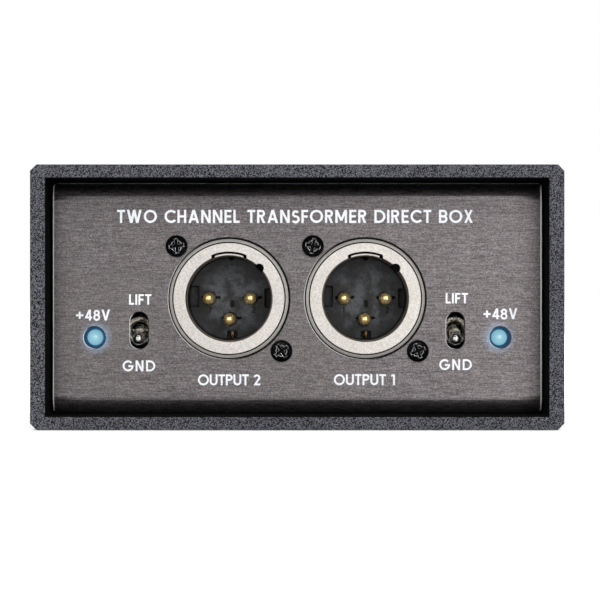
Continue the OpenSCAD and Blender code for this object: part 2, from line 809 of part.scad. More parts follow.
module transformer_bobbins() {
    tube_half_w = centre_leg_half + fit + spool_t;
    tube_half_d = core_half_d + fit + spool_t;
    low = yoke + fit;
    high = core_h - yoke - fit;
    rail_d = 2.2;
    color("#2a2c30") at_transformers() difference() {
        union() {
            upright_box(tube_half_w, tube_half_d, low, high);
            upright_box(window_half_w - fit, bobbin_half_d, low, low + flange_t);
            upright_box(window_half_w - fit, bobbin_half_d, high - flange_t, high);
            for (side = [-1, 1]) translate([0, side * (bobbin_half_d - rail_d / 2), 0])
                upright_box(window_half_w - fit, rail_d / 2, low - 3, low + fit);
        }
        upright_box(centre_leg_half + fit, core_half_d + fit, low - over, high + over);
        for (side = [-1, 1]) for (x = transformer_pin_xs)
            translate([x, side * transformer_pin_y, low - 3 - over]) cylinder(r = 0.4, h = 2 + over);
    }
}

module transformer_windings() {
    low = yoke + fit + flange_t;
    high = core_h - yoke - fit - flange_t;
    inner_half_w = centre_leg_half + 2 * fit + spool_t;
    inner_half_d = core_half_d + 2 * fit + spool_t;
    corner = 2.5;
    color("#b5651d") at_transformers() difference() {
        translate([0, 0, low]) linear_extrude(height = high - low)
            rounded_rect(2 * window_half_w - 0.6, 2 * bobbin_half_d - 1.2, corner);
        upright_box(inner_half_w, inner_half_d, low - over, high + over);
    }
}

module transformer_pins() {
    pin_r = 0.35;
    top = yoke + fit - 3 + 1.9;
    bottom = lead_end - board_top - transformer_gap;
    color("#c9ccd0") at_transformers()
        for (side = [-1, 1]) for (x = transformer_pin_xs)
            translate([x, side * transformer_pin_y, bottom]) cylinder(r = pin_r, h = top - bottom);
}

// ---------------------------------------------------------------- small parts on the board

module mirrored_on_board(xs, ys) {
    for (side = [-1, 1]) for (x = xs) for (y = ys) translate([side * x, y, board_top]) children();
}

module electrolytic_caps() {
    r = 4;
    h = 11.5;
    groove = 0.35;
    color("#23314f") mirrored_on_board([12, 22, 32], [7]) rotate_extrude() polygon([
        [0, 0], [r, 0], [r, 1.4], [r - groove, 1.9], [r, 2.4], [r, h - 0.5], [r - 0.5, h], [0, h]
    ]);
}

module film_caps() {
    color("#b23a2e") mirrored_on_board([12, 22, 32], [17]) translate([0, 0, 0.2])
        linear_extrude(height = 8) rounded_rect(7.2, 4, 0.6);
}

module resistors() {
    body_r = 1.15;
    waist_r = 0.95;
    half_len = 3.1;
    cap_len = 1.2;
    lead_r = 0.28;
    span = 5;
    lift = 1.4;
    color("#7fa7c4") mirrored_on_board([14, 29], [23, 27]) {
        translate([0, 0, lift]) rotate([0, 90, 0]) {
            translate([0, 0, -half_len]) cylinder(r = waist_r, h = 2 * half_len);
            for (end = [-half_len, half_len - cap_len]) translate([0, 0, end])
                cylinder(r = body_r, h = cap_len);
            translate([0, 0, -span]) cylinder(r = lead_r, h = 2 * span);
        }
        for (end = [-span, span]) translate([end, 0, 0]) {
            cylinder(r = lead_r, h = lift);
            translate([0, 0, lift]) sphere(lead_r);
        }
    }
}

module transistors() {
    body_r = 2.4;
    body_h = 4.6;
    stand = 3;
    flat = 1.4;
    lead_w = 0.45;
    color("#1b1c1e") mirrored_on_board([39.5], [-20, -8, 6, 20]) {
        translate([0, 0, stand]) intersection() {
            cylinder(r = body_r, h = body_h);
            translate([-body_r - flat, -body_r, 0]) cube([2 * body_r, 2 * body_r, body_h]);
        }
        for (y = [-1.27, 0, 1.27]) translate([-lead_w / 2, y - lead_w / 2, 0]) cube([lead_w, lead_w, stand]);
    }
}

// ---------------------------------------------------------------- nodes

outer_sleeve();
inner_chassis();
sleeve_screws();
clinch_nuts();
board_standoffs();
board_screws();
circuit_board();
on_output(xlr_spots[0]) xlr_shell();  // output_1_shell
on_output(xlr_spots[0]) xlr_insert();  // output_1_insert
on_output(xlr_spots[0]) xlr_pins();  // output_1_pins
on_output(xlr_spots[0]) xlr_ground_spring();  // output_1_ground_spring
on_output(xlr_spots[1]) xlr_shell();  // output_2_shell
on_output(xlr_spots[1]) xlr_insert();  // output_2_insert
on_output(xlr_spots[1]) xlr_pins();  // output_2_pins
on_output(xlr_spots[1]) xlr_ground_spring();  // output_2_ground_spring
output_screws();
on_output(lift_spots[0]) switch_case();  // lift_1_case
on_output(lift_spots[0]) switch_frame(lift_z);  // lift_1_frame
on_output(lift_spots[0]) switch_lever();  // lift_1_lever
on_output(lift_spots[0]) switch_rocker();  // lift_1_rocker
on_output(lift_spots[1]) switch_case();  // lift_2_case
on_output(lift_spots[1]) switch_frame(lift_z);  // lift_2_frame
on_output(lift_spots[1]) switch_lever();  // lift_2_lever
on_output(lift_spots[1]) switch_rocker();  // lift_2_rocker
on_input(pad_spots[0]) switch_case();  // pad_1_case
on_input(pad_spots[0]) switch_frame(pad_z);  // pad_1_frame
on_input(pad_spots[0]) switch_lever();  // pad_1_lever
on_input(pad_spots[0]) switch_rocker();  // pad_1_rocker
on_input(pad_spots[1]) switch_case();  // pad_2_case
on_input(pad_spots[1]) switch_frame(pad_z);  // pad_2_frame
on_input(pad_spots[1]) switch_lever();  // pad_2_lever
on_input(pad_spots[1]) switch_rocker();  // pad_2_rocker
switch_terminals();
on_output(lamp_spots[0]) lamp_lens();  // lamp_1_lens
on_output(lamp_spots[1]) lamp_lens();  // lamp_2_lens
lamp_leads();
on_input(jack_spots[0]) jack_body();  // input_1_body
on_input(jack_spots[0]) jack_bushing();  // input_1_bushing
on_input(jack_spots[0]) jack_contacts();  // input_1_contacts
on_input(jack_spots[1]) jack_body();  // thru_1_body
on_input(jack_spots[1]) jack_bushing();  // thru_1_bushing
on_input(jack_spots[1]) jack_contacts();  // thru_1_contacts
on_input(jack_spots[2]) jack_body();  // input_2_body
on_input(jack_spots[2]) jack_bushing();  // input_2_bushing
on_input(jack_spots[2]) jack_contacts();  // input_2_contacts
on_input(jack_spots[3]) jack_body();  // thru_2_body
on_input(jack_spots[3]) jack_bushing();  // thru_2_bushing
on_input(jack_spots[3]) jack_contacts();  // thru_2_contacts
jack_washers();
jack_nuts();
transformer_cores();
transformer_bobbins();
transformer_windings();
transformer_pins();
electrolytic_caps();
film_caps();
resistors();
transistors();
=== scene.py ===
"""Two-channel direct injection box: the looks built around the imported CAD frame, in metres."""

import json
import math

import bmesh
import bpy
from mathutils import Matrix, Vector
from mathutils.geometry import delaunay_2d_cdt


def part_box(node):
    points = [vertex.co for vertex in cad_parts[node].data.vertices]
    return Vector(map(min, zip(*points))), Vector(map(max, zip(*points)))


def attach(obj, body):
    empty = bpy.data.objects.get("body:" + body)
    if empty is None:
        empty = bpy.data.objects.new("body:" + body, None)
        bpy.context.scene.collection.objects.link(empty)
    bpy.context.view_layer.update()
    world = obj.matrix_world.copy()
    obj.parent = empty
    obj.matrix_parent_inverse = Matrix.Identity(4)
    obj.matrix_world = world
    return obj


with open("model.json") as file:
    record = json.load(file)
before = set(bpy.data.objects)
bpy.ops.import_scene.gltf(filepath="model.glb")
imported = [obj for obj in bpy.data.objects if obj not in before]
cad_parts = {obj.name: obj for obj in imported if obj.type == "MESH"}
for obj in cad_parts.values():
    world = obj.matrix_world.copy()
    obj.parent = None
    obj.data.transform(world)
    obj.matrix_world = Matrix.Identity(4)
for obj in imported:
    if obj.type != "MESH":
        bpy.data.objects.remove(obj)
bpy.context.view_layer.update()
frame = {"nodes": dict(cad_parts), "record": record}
NODES = frame["nodes"]
MM = 0.001


def middle(node):
    """Middle of a node's box at rest."""
    low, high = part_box(node)
    return (low + high) / 2


# ------------------------------------------------------------------ places read from the frame

SLEEVE_LOW, SLEEVE_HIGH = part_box("outer_sleeve")
SLEEVE_MIDDLE = (SLEEVE_LOW + SLEEVE_HIGH) / 2
CHASSIS_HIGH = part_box("inner_chassis")[1]
OPENING_GAP = 0.00043
OPENING_X = CHASSIS_HIGH.x + OPENING_GAP
OPENING_Z = SLEEVE_HIGH.z - SLEEVE_MIDDLE.z - (SLEEVE_HIGH.z - CHASSIS_HIGH.z) + OPENING_GAP
PANEL_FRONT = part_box("inner_chassis")[0].y
PANEL_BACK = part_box("inner_chassis")[1].y
CHASSIS_SIDE = CHASSIS_HIGH.x
LAMP = middle("lamp_1_lens")
LIFT = middle("lift_1_case")
PAD = middle("pad_1_case")
LEVER_TIP = 2.4 * MM
LEVER_FRONT = -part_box("lift_1_lever")[0].y
OUTPUT = middle("output_1_pins")
OUTPUT.z = middle("output_1_shell").z
SCREW_HEAD = 2.1 * MM
SCREWS_LOW, SCREWS_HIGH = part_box("output_screws")
SCREW_OFFSET = SCREWS_HIGH.x - SCREW_HEAD - OUTPUT.x

# Radii where a finish changes and where painted shade begins or ends, about the axes of the outputs, the
# switches and the lamps
CUP_RADIUS = 0.00830
GROOVE_INNER = 0.01056
GROOVE_OUTER = 0.01079
SKIRT_RADIUS = 0.01128
GROUND_SPRING_RADIUS = 0.0058
RECESS_RADIUS = 0.00155
BUSHING_BORE = 0.00214
BUSHING_RIM = 0.00283
LENS_RADIUS = 0.00146
CHANGE = 0.00005

# ------------------------------------------------------------------ camera

CAMERA_DISTANCE = 0.641
CAMERA_LENS = 205.6
CAMERA_SENSOR = 36
CAMERA_SHIFT = 2.8 / 600

camera_data = bpy.data.cameras.new("camera")
camera = bpy.data.objects.new("camera", camera_data)
bpy.context.collection.objects.link(camera)
camera.location = (0, SLEEVE_LOW.y - CAMERA_DISTANCE, SLEEVE_MIDDLE.z)
camera.rotation_euler = (math.pi / 2, 0, 0)
camera_data.lens = CAMERA_LENS
camera_data.sensor_width = CAMERA_SENSOR
camera_data.shift_x = CAMERA_SHIFT
camera_data.shift_y = -CAMERA_SHIFT
camera_data.clip_start = 0.01
camera_data.clip_end = 20
bpy.context.scene.camera = camera


# ------------------------------------------------------------------ material graphs

class Graph:
    """A material's node tree, with short ways to add and join nodes."""

    def __init__(self, name):
        self.material = bpy.data.materials.new(name)
        self.material.use_nodes = True
        self.tree = self.material.node_tree
        self.surface = self.tree.nodes["Principled BSDF"]
        self.place = self.node("ShaderNodeTexCoord").outputs["Object"]

    def node(self, kind, **settings):
        made = self.tree.nodes.new(kind)
        for key, value in settings.items():
            setattr(made, key, value)
        return made

    def feed(self, socket, value):
        if isinstance(value, bpy.types.NodeSocket):
            self.tree.links.new(value, socket)
        else:
            socket.default_value = value

    def math(self, operation, *values):
        made = self.node("ShaderNodeMath", operation=operation)
        for socket, value in zip(made.inputs, values):
            self.feed(socket, value)
        return made.outputs[0]

    def noise(self, grain, detail=2.0, rough=0.55, offset=0.0):
        """Noise whose features are about grain metres across, one size or one per axis."""
        sizes = grain if isinstance(grain, tuple) else (grain,) * 3
        mapping = self.node("ShaderNodeMapping")
        self.feed(mapping.inputs["Vector"], self.place)
        mapping.inputs["Scale"].default_value = [1 / size for size in sizes]
        mapping.inputs["Location"].default_value = (offset,) * 3
        made = self.node("ShaderNodeTexNoise")
        self.feed(made.inputs["Vector"], mapping.outputs[0])
        made.inputs["Scale"].default_value = 1
        made.inputs["Detail"].default_value = detail
        made.inputs["Roughness"].default_value = rough
        return made.outputs[0]

    def remap(self, value, low, high, to_low, to_high, smooth=False):
        made = self.node("ShaderNodeMapRange")
        if smooth:
            made.interpolation_type = "SMOOTHSTEP"
        for socket, given in zip(made.inputs, (value, low, high, to_low, to_high)):
            self.feed(socket, given)
        return made.outputs[0]

    def mix(self, factor, first, second):
        made = self.node("ShaderNodeMix", data_type="RGBA")
        self.feed(made.inputs[0], factor)
        for socket, value in ((made.inputs[6], first), (made.inputs[7], second)):
            self.feed(socket, value if isinstance(value, bpy.types.NodeSocket) else (*value, 1))
        return made.outputs[2]

    def bump(self, height, depth):
        made = self.node("ShaderNodeBump")
        made.inputs["Strength"].default_value = 1
        made.inputs["Distance"].default_value = depth
        self.feed(made.inputs["Height"], height)
        return made.outputs[0]

    def apart(self, axis):
        """One coordinate of the place: 0 for X, 1 for Y, 2 for Z."""
        made = self.node("ShaderNodeSeparateXYZ")
        self.feed(made.inputs[0], self.place)
        return made.outputs[axis]

    def far(self, x, z):
        """Distance from the nearer of the line through (x, z) along Y and its mirror image in X."""
        right = self.math("SUBTRACT", self.math("ABSOLUTE", self.apart(0)), x)
        up = self.math("SUBTRACT", self.apart(2), z)
        squares = self.math("ADD", self.math("MULTIPLY", right, right), self.math("MULTIPLY", up, up))
        return self.math("SQRT", squares)


def finish(name, dark, light, metallic=0.0, rough=(0.4, 0.5), grain=0.0004,
           depth=0.0, cloud=0.006, cloud_mix=0.12, offset=0.0, **sockets):
    """A material from two noises: a fine grain, for colour, gloss and relief, and slow clouding."""
    g = Graph(name)
    fine = g.noise(grain, offset=offset)
    slow = g.noise(cloud, 3.0, offset=offset + 7)
    grainy = g.mix(g.remap(fine, 0.35, 0.65, 0, 1), dark, light)
    g.feed(g.surface.inputs["Base Color"],
           g.mix(g.remap(slow, 0.35, 0.65, 0, cloud_mix), grainy, tuple(0.45 * c for c in dark)))
    mixed = g.math("ADD", g.math("MULTIPLY", fine, 0.5), g.math("MULTIPLY", slow, 0.5))
    g.feed(g.surface.inputs["Roughness"], g.remap(mixed, 0.35, 0.65, rough[0], rough[1]))
    if depth:
        g.feed(g.surface.inputs["Normal"], g.bump(fine, depth))
    g.surface.inputs["Metallic"].default_value = metallic
    for socket, value in sockets.items():
        g.surface.inputs[socket.replace("_", " ")].default_value = value
    return g.material


def powder_coat():
    """Powder coat with grains 0.15 to 0.3 mm across, and painted shade: plain black inside the mouths."""
    g = Graph("powder_coat")
    grains = g.noise(0.00015, 0.0, 0.5)
    worms = g.noise(0.00029, 1.0, 0.5, offset=3)
    speck = g.math("ADD", g.math("MULTIPLY", grains, 0.6), g.math("MULTIPLY", worms, 0.4))
    slow = g.noise(0.02, 3, offset=9)
    coat = g.mix(g.remap(speck, 0.42, 0.60, 0, 1), (0.001, 0.001, 0.002), (0.124, 0.126, 0.144))
    coat = g.mix(g.remap(slow, 0.35, 0.7, 0, 0.2), coat, (0.020, 0.020, 0.023))
    # Painted shade: the inner walls of the sleeve's mouths are painted near black, for the shade inside them
    wall_x = g.remap(g.math("ABSOLUTE", g.apart(0)), OPENING_X + 0.00003, OPENING_X + 0.00009, 1, 0)
    wall_z = g.remap(g.math("ABSOLUTE", g.math("SUBTRACT", g.apart(2), SLEEVE_MIDDLE.z)),
                     OPENING_Z + 0.00003, OPENING_Z + 0.00009, 1, 0)
    inside = g.math("MULTIPLY", wall_x, wall_z)
    g.feed(g.surface.inputs["Base Color"], g.mix(inside, coat, (0.002, 0.002, 0.002)))
    g.feed(g.surface.inputs["Roughness"], g.math("MAXIMUM", inside, g.remap(speck, 0.35, 0.65, 0.62, 0.46)))
    g.feed(g.surface.inputs["Normal"], g.bump(speck, 0.00022))
    g.surface.inputs["Specular IOR Level"].default_value = 0.12
    return g.material


def anodised():
    """Brushed and anodised sheet, lit blue at the lamps.

    It is pale along the panels' upright edges and the topmost 0.3 mm, partly bare metal and partly a painted
    highlight, and painted black in its holes as shade."""
    g = Graph("anodised_panel")
    hair = g.noise((0.0020, 0.00012, 0.00012), 2, 0.6)
    streak = g.noise((0.011, 0.00036, 0.00036), 2, 0.6, offset=5)
    dust = g.noise(0.00020, 1.0, offset=11)
    slow = g.noise(0.035, 2, offset=2)
    base = g.mix(g.remap(hair, 0.38, 0.62, 0, 1), (0.122, 0.110, 0.112), (0.298, 0.273, 0.278))
    base = g.mix(g.remap(dust, 0.46, 0.64, 0, 0.58), base, (0.085, 0.076, 0.080))
    base = g.mix(g.remap(dust, 0.50, 0.32, 0, 0.42), base, (0.430, 0.395, 0.402))
    base = g.mix(g.remap(streak, 0.52, 0.70, 0, 0.26), base, (0.095, 0.086, 0.090))
    base = g.mix(g.remap(slow, 0.35, 0.65, 0, 0.16), base, (0.235, 0.215, 0.200))
    # Painted highlight: the upright edges and the topmost 0.3 mm are painted pale, partly bare cut metal and
    # partly standing in for the light these edges catch
    side = g.math("ABSOLUTE", g.apart(0))
    bare = g.math("MAXIMUM", g.remap(side, CHASSIS_SIDE - 0.00036, CHASSIS_SIDE - 0.00030, 0, 1),
                  g.remap(g.apart(2), CHASSIS_HIGH.z - 0.00032, CHASSIS_HIGH.z - 0.00026, 0, 1))
    base = g.mix(bare, base, (0.80, 0.80, 0.80))
    # Painted shade: the walls of the panels' holes, from a tenth of a millimetre in, are painted black
    deep = g.remap(g.math("ABSOLUTE", g.apart(1)), -PANEL_FRONT - 0.00010, -PANEL_FRONT - 0.00014, 0, 1)
    level = g.math("ABSOLUTE", g.math("SUBTRACT", g.apart(2), middle("inner_chassis").z))
    flat = g.math("MULTIPLY", g.remap(level, 0.0170, 0.0172, 1, 0), g.remap(side, 0.0450, 0.0452, 1, 0))
    painted_hole_shade = g.math("MULTIPLY", deep, flat)
    g.feed(g.surface.inputs["Base Color"], g.mix(painted_hole_shade, base, (0.004, 0.004, 0.004)))
    g.feed(g.surface.inputs["Metallic"], g.remap(bare, 0, 1, 1.0, 0.3))
    g.surface.inputs["Anisotropic"].default_value = 0.65
    brushing = g.node("ShaderNodeTangent", direction_type="RADIAL", axis="X")
    g.feed(g.surface.inputs["Tangent"], brushing.outputs[0])
    g.feed(g.surface.inputs["Roughness"], g.remap(hair, 0.3, 0.7, 0.34, 0.44))
    g.feed(g.surface.inputs["Normal"], g.bump(hair, 0.000008))
    # Painted glow: blue emission on the panel's front round each lamp, standing in for the lamps' light on
    # it, centred 0.3 mm nearer the middle
    outward = g.remap(g.apart(1), PANEL_FRONT + 0.0005, PANEL_FRONT + 0.0001, 0, 1)
    glow = g.remap(g.far(LAMP.x - 0.0003, LAMP.z), 0.0018, 0.0040, 1, 0, smooth=True)
    g.feed(g.surface.inputs["Emission Color"], (0.15, 0.27, 0.42, 1))
    g.feed(g.surface.inputs["Emission Strength"],
           g.math("MULTIPLY", g.math("MULTIPLY", glow, glow), g.math("MULTIPLY", outward, 0.62)))
    return g.material


def satin_nickel():
    """Bead-blasted nickel of the output shells, with painted shade: black in the gaps, the groove and the
    latch recess, and darker down the bore.
    """
    g = Graph("nickel")
    blast = g.noise(0.00020, 1, 0.5)
    cloud = g.noise(0.0035, 3, offset=7)
    base = g.mix(g.remap(blast, 0.36, 0.64, 0, 1), (0.54, 0.51, 0.475), (0.74, 0.705, 0.665))
    base = g.mix(g.remap(cloud, 0.4, 0.7, 0, 0.18), base, (0.42, 0.385, 0.335))
    out = g.far(OUTPUT.x, OUTPUT.z)
    # Painted shade: black where the shell sinks behind the panel outside the bore, in the groove and on the
    # skirt beside the panel's hole
    sunk = g.remap(g.apart(1), PANEL_FRONT + 0.00025, PANEL_FRONT + 0.00030, 0, 1)
    beyond_bore = g.remap(out, CUP_RADIUS, CUP_RADIUS + CHANGE, 0, 1)
    groove = g.math("MULTIPLY", g.remap(out, GROOVE_INNER, GROOVE_INNER + CHANGE, 0, 1),
                    g.remap(out, GROOVE_OUTER, GROOVE_OUTER + CHANGE, 1, 0))
    skirt = g.math("MULTIPLY", g.remap(out, SKIRT_RADIUS, SKIRT_RADIUS + 0.8 * CHANGE, 0, 1),
                   g.remap(g.apart(1), PANEL_FRONT - 0.00035, PANEL_FRONT - 0.00030, 0, 1))
    dark = g.math("MAXIMUM", g.math("MAXIMUM", g.math("MULTIPLY", sunk, beyond_bore), groove), skirt)
    # Painted shade: the bore's wall is painted darker brown the deeper it goes
    bore = g.math("MULTIPLY", g.remap(g.apart(1), PANEL_FRONT - 0.0009, PANEL_FRONT + 0.0010, 0, 0.9),
                  g.remap(out, CUP_RADIUS, CUP_RADIUS + CHANGE, 1, 0))
    base = g.mix(bore, base, (0.085, 0.062, 0.042))
    g.feed(g.surface.inputs["Base Color"], g.mix(dark, base, (0.004, 0.004, 0.004)))
    g.feed(g.surface.inputs["Metallic"], g.remap(out, GROOVE_OUTER, GROOVE_OUTER + 1.4 * CHANGE, 1.0, 0.5))
    g.feed(g.surface.inputs["Roughness"], g.remap(blast, 0.3, 0.7, 0.32, 0.42))
    g.feed(g.surface.inputs["Normal"], g.bump(blast, 0.000010))
    return g.material


def switch_bushing():
    """A toggle's bronze bushing: dark speckled face, warm bore, and the plate behind it painted black as
    shade.
    """
    g = Graph("bushing_metal")
    spots = g.noise(0.00028, 2, 0.6)
    tarnish = g.noise(0.0009, 2, offset=6)
    axis = g.math("MINIMUM", g.far(LIFT.x, LIFT.z), g.far(PAD.x, PAD.z))
    bore = g.remap(axis, BUSHING_BORE, BUSHING_BORE + 1.2 * CHANGE, 1, 0)
    # Painted shade: the plate behind the bushing, deep in the slot, is painted black
    plate = g.remap(axis, BUSHING_RIM, BUSHING_RIM + 1.4 * CHANGE, 0, 1)
    face = g.mix(g.remap(spots, 0.40, 0.66, 0, 1), (0.030, 0.028, 0.025), (0.50, 0.47, 0.41))
    warm = g.mix(g.remap(tarnish, 0.44, 0.58, 0, 1), (0.030, 0.027, 0.021), (0.85, 0.80, 0.66))
    bronze = g.mix(bore, face, warm)
    g.feed(g.surface.inputs["Base Color"], g.mix(plate, bronze, (0.005, 0.005, 0.005)))
    g.feed(g.surface.inputs["Metallic"], g.remap(bore, 0, 1, 0.95, 0.6))
    g.feed(g.surface.inputs["Roughness"], g.math("MAXIMUM", plate, g.remap(tarnish, 0.3, 0.7, 0.26, 0.46)))
    g.feed(g.surface.inputs["Normal"], g.bump(spots, 0.00003))
    return g.material


def lever_chrome():
    """A polished ball tip on a neck that is worn to a warmer, duller metal."""
    g = Graph("lever_chrome")
    wear = g.noise(0.0007, 3)
    tarnish = g.noise((0.0012, 0.0008, 0.0006), 2, 0.6, offset=2.4)
    tip_end = LEVER_FRONT - LEVER_TIP
    neck = g.remap(g.math("ABSOLUTE", g.apart(1)), tip_end + 0.0001, tip_end, 0, 1)
    chrome = g.mix(g.remap(wear, 0.35, 0.65, 0, 1), (0.52, 0.51, 0.49), (0.68, 0.67, 0.65))
    worn = g.mix(g.remap(tarnish, 0.44, 0.58, 0, 1), (0.040, 0.037, 0.030), (0.95, 0.90, 0.77))
    g.feed(g.surface.inputs["Base Color"], g.mix(neck, chrome, worn))
    g.feed(g.surface.inputs["Metallic"], g.remap(neck, 0, 1, 1.0, 0.6))
    g.feed(g.surface.inputs["Roughness"], g.math("MAXIMUM", g.remap(neck, 0, 1, 0, 0.26),
                                                 g.remap(wear, 0.3, 0.7, 0.07, 0.14)))
    g.feed(g.surface.inputs["Normal"], g.bump(wear, 0.000006))
    return g.material


def moulded_insert():
    """Black thermoset with bluish bloom in clouds, and painted shade darkening it towards the cup's wall."""
    g = Graph("insert_plastic")
    bloom = g.noise(0.0030, 4, 0.62, offset=1.7)
    fine = g.noise(0.00035, 2, 0.6, offset=4)
    base = g.mix(g.remap(bloom, 0.40, 0.62, 0, 1, smooth=True), (0.010, 0.010, 0.010), (0.150, 0.166, 0.192))
    base = g.mix(g.remap(fine, 0.35, 0.65, 0, 0.5), base, (0.012, 0.012, 0.013))
    base = g.mix(g.remap(fine, 0.62, 0.72, 0, 0.5), base, (0.12, 0.13, 0.15))
    # Painted shade: darker towards the cup's wall, which shades the insert
    base = g.mix(g.remap(g.far(OUTPUT.x, OUTPUT.z), 0.0046, 0.0080, 0, 0.75), base, (0.006, 0.006, 0.006))
    g.feed(g.surface.inputs["Base Color"], base)
    g.feed(g.surface.inputs["Roughness"], g.remap(bloom, 0.3, 0.7, 0.34, 0.56))
    g.feed(g.surface.inputs["Normal"], g.bump(fine, 0.00003))
    g.surface.inputs["Specular IOR Level"].default_value = 0.4
    return g.material


def lamp_blue():
    """A lit lamp: pale blue dome in a deep blue cup."""
    g = Graph("lamp_blue")
    off = g.far(LAMP.x, LAMP.z)
    cup_start = LENS_RADIUS + 1.2 * CHANGE
    cup = g.remap(off, LENS_RADIUS, cup_start, 0, 1)
    depth = g.remap(off, cup_start, 0.00200, 0, 1)
    ripple = g.noise(0.0006, 2)
    disc = g.mix(g.remap(off, 0.0, 0.0014, 0, 1), (0.33, 0.585, 0.66), (0.25, 0.50, 0.595))
    disc = g.mix(g.remap(ripple, 0.35, 0.65, 0, 0.2), disc, (0.20, 0.44, 0.55))
    cup_blue = g.mix(depth, (0.026, 0.120, 0.250), (0.004, 0.026, 0.062))
    g.feed(g.surface.inputs["Emission Color"], g.mix(cup, disc, cup_blue))
    g.surface.inputs["Emission Strength"].default_value = 0.85
    g.feed(g.surface.inputs["Base Color"], g.mix(cup, (0.08, 0.17, 0.21), (0.01, 0.04, 0.08)))
    g.feed(g.surface.inputs["Roughness"], g.math("MAXIMUM", g.remap(cup, 0, 1, 0, 0.8),
                                                 g.remap(ripple, 0.3, 0.7, 0.04, 0.07)))
    g.surface.inputs["Specular IOR Level"].default_value = 1.0
    return g.material


def contact_gold():
    """Gold plating: bright on the pins, dull on the ground springs further from the output's axis."""
    g = Graph("gold_contact")
    grain = g.noise(0.0005, 2, offset=1)
    stain = g.noise(0.0016, 3, offset=8)
    gold = g.mix(g.remap(grain, 0.35, 0.65, 0, 1), (1.00, 0.69, 0.28), (1.00, 0.80, 0.42))
    gold = g.mix(g.remap(stain, 0.5, 0.7, 0, 0.3), gold, (0.55, 0.36, 0.14))
    spring = g.remap(g.far(OUTPUT.x, OUTPUT.z), GROUND_SPRING_RADIUS,
                     GROUND_SPRING_RADIUS + 4 * CHANGE, 0, 1)
    g.feed(g.surface.inputs["Base Color"], g.mix(spring, gold, (0.20, 0.125, 0.045)))
    g.surface.inputs["Metallic"].default_value = 0.85
    g.feed(g.surface.inputs["Roughness"], g.remap(grain, 0.3, 0.7, 0.15, 0.20))
    g.feed(g.surface.inputs["Normal"], g.bump(grain, 0.000002))
    return g.material


def black_screw():
    """Blackened steel: a satin head, and painted shade making it a deeper black inside the cross recess."""
    g = Graph("black_screw")
    grain = g.noise(0.0004, 2, offset=3)
    head = g.mix(g.remap(grain, 0.35, 0.65, 0, 1), (0.008, 0.008, 0.009), (0.034, 0.036, 0.039))
    high = OUTPUT.z + SCREW_OFFSET
    low = OUTPUT.z - SCREW_OFFSET
    outer, inner = OUTPUT.x + SCREW_OFFSET, OUTPUT.x - SCREW_OFFSET
    axis = g.math("MINIMUM", g.math("MINIMUM", g.far(outer, high), g.far(inner, high)),
                  g.math("MINIMUM", g.far(outer, low), g.far(inner, low)))
    dome = g.math("MULTIPLY", g.math("MULTIPLY", axis, axis), 1 / (2.6 * SCREW_HEAD))
    below = g.math("SUBTRACT", g.math("SUBTRACT", g.apart(1), SCREWS_LOW.y), dome)
    # Painted shade: the cross recess, below the head's dome, is painted a deeper black
    recess = g.math("MULTIPLY", g.remap(below, 0.00014, 0.00022, 0, 1),
                    g.remap(axis, RECESS_RADIUS, RECESS_RADIUS + CHANGE, 1, 0))
    g.feed(g.surface.inputs["Base Color"], g.mix(recess, head, (0.002, 0.002, 0.002)))
    g.surface.inputs["Metallic"].default_value = 0.9
    g.feed(g.surface.inputs["Roughness"], g.math("MAXIMUM", g.remap(recess, 0, 1, 0, 0.5),
                                                 g.remap(grain, 0.3, 0.7, 0.16, 0.26)))
    g.feed(g.surface.inputs["Normal"], g.bump(grain, 0.00001))
    return g.material


def cut_edge():
    """The bright cut edge of the sheet, with painted shade: dark where it faces left or down, away from the
    lights.
    """
    g = Graph("cut_edge")
    bare = g.noise(0.0004, 2, offset=90)
    # Painted light and shade: the edge keeps its bright bare colour where its normal faces right and up,
    # towards the lights, and is painted dark where it faces away
    facing = g.node("ShaderNodeVectorMath", operation="DOT_PRODUCT")
    g.feed(facing.inputs[0], g.node("ShaderNodeNewGeometry").outputs["Normal"])
    facing.inputs[1].default_value = (0.93, 0, 0.36)
    bright = g.remap(facing.outputs["Value"], 0.10, 0.45, 0, 1)
    light = g.mix(g.remap(bare, 0.35, 0.65, 0, 1), (0.88, 0.88, 0.88), (0.98, 0.98, 0.98))
    g.feed(g.surface.inputs["Base Color"], g.mix(bright, (0.012, 0.011, 0.011), light))
    g.feed(g.surface.inputs["Roughness"], g.remap(bare, 0.3, 0.7, 0.22, 0.34))
    return g.material


TRACKS_PER_METRE = 190


def board_green():
    """Green solder mask with copper tracks faintly raised under it."""
    g = Graph("board_green")
    tracks = g.node("ShaderNodeTexVoronoi", feature="DISTANCE_TO_EDGE", distance="MANHATTAN")
    g.feed(tracks.inputs["Vector"], g.place)
    tracks.inputs["Scale"].default_value = TRACKS_PER_METRE
    line = g.remap(tracks.outputs["Distance"], 0.03, 0.07, 1, 0)
    weave = g.noise(0.0011, 2)
    mask = g.mix(g.remap(weave, 0.35, 0.65, 0, 1), (0.006, 0.055, 0.022), (0.010, 0.080, 0.032))
    g.feed(g.surface.inputs["Base Color"], g.mix(line, mask, (0.020, 0.130, 0.045)))
    g.feed(g.surface.inputs["Roughness"], g.remap(weave, 0.3, 0.7, 0.28, 0.42))
    g.feed(g.surface.inputs["Normal"], g.bump(line, 0.00004))
    return g.material


